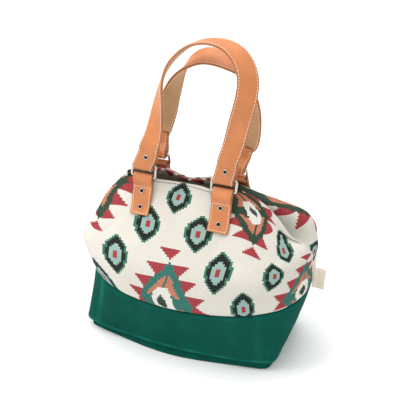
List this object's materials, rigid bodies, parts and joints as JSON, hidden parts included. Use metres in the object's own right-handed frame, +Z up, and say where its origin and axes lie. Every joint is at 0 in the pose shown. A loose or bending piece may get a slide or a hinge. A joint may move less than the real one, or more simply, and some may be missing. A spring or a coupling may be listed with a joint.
{
  "type": "handbag",
  "caption": "Soft tote with a boxed canvas base, gathered patterned cloth upper, and two leather handles on rectangular metal rings",
  "frame": {"origin": "centre of the bag's outer bounding box in plan, on the surface that it rests on", "axes": "+Z up; the front, with the label at its right-hand side seam, faces -Y; +X runs along the bag to the label's end"},
  "size_m": [0.3096, 0.1598, 0.3919],
  "materials": {
    "canvas": "matt woven canvas",
    "jacquard": "matt patterned weave",
    "leather": "smooth tan leather, low sheen",
    "nickel": "bright plated wire and rivets",
    "tag": "matt cotton tape"
  },
  "bodies": {
    "root": {"base": "canvas", "handle_back": "leather", "handle_front": "leather", "handle_rivet_back_left": "nickel", "handle_rivet_back_right": "nickel", "handle_rivet_front_left": "nickel", "handle_rivet_front_right": "nickel", "hem_back": "jacquard", "hem_front": "jacquard", "label": "tag", "panel": "jacquard", "ring_back_left": "nickel", "ring_back_right": "nickel", "ring_front_left": "nickel", "ring_front_right": "nickel", "tab_back_left": "leather", "tab_back_right": "leather", "tab_front_left": "leather", "tab_front_right": "leather", "tab_rivet_back_left_lower": "nickel", "tab_rivet_back_left_upper": "nickel", "tab_rivet_back_right_lower": "nickel", "tab_rivet_back_right_upper": "nickel", "tab_rivet_front_left_lower": "nickel", "tab_rivet_front_left_upper": "nickel", "tab_rivet_front_right_lower": "nickel", "tab_rivet_front_right_upper": "nickel"}
  },
  "joints": []
}
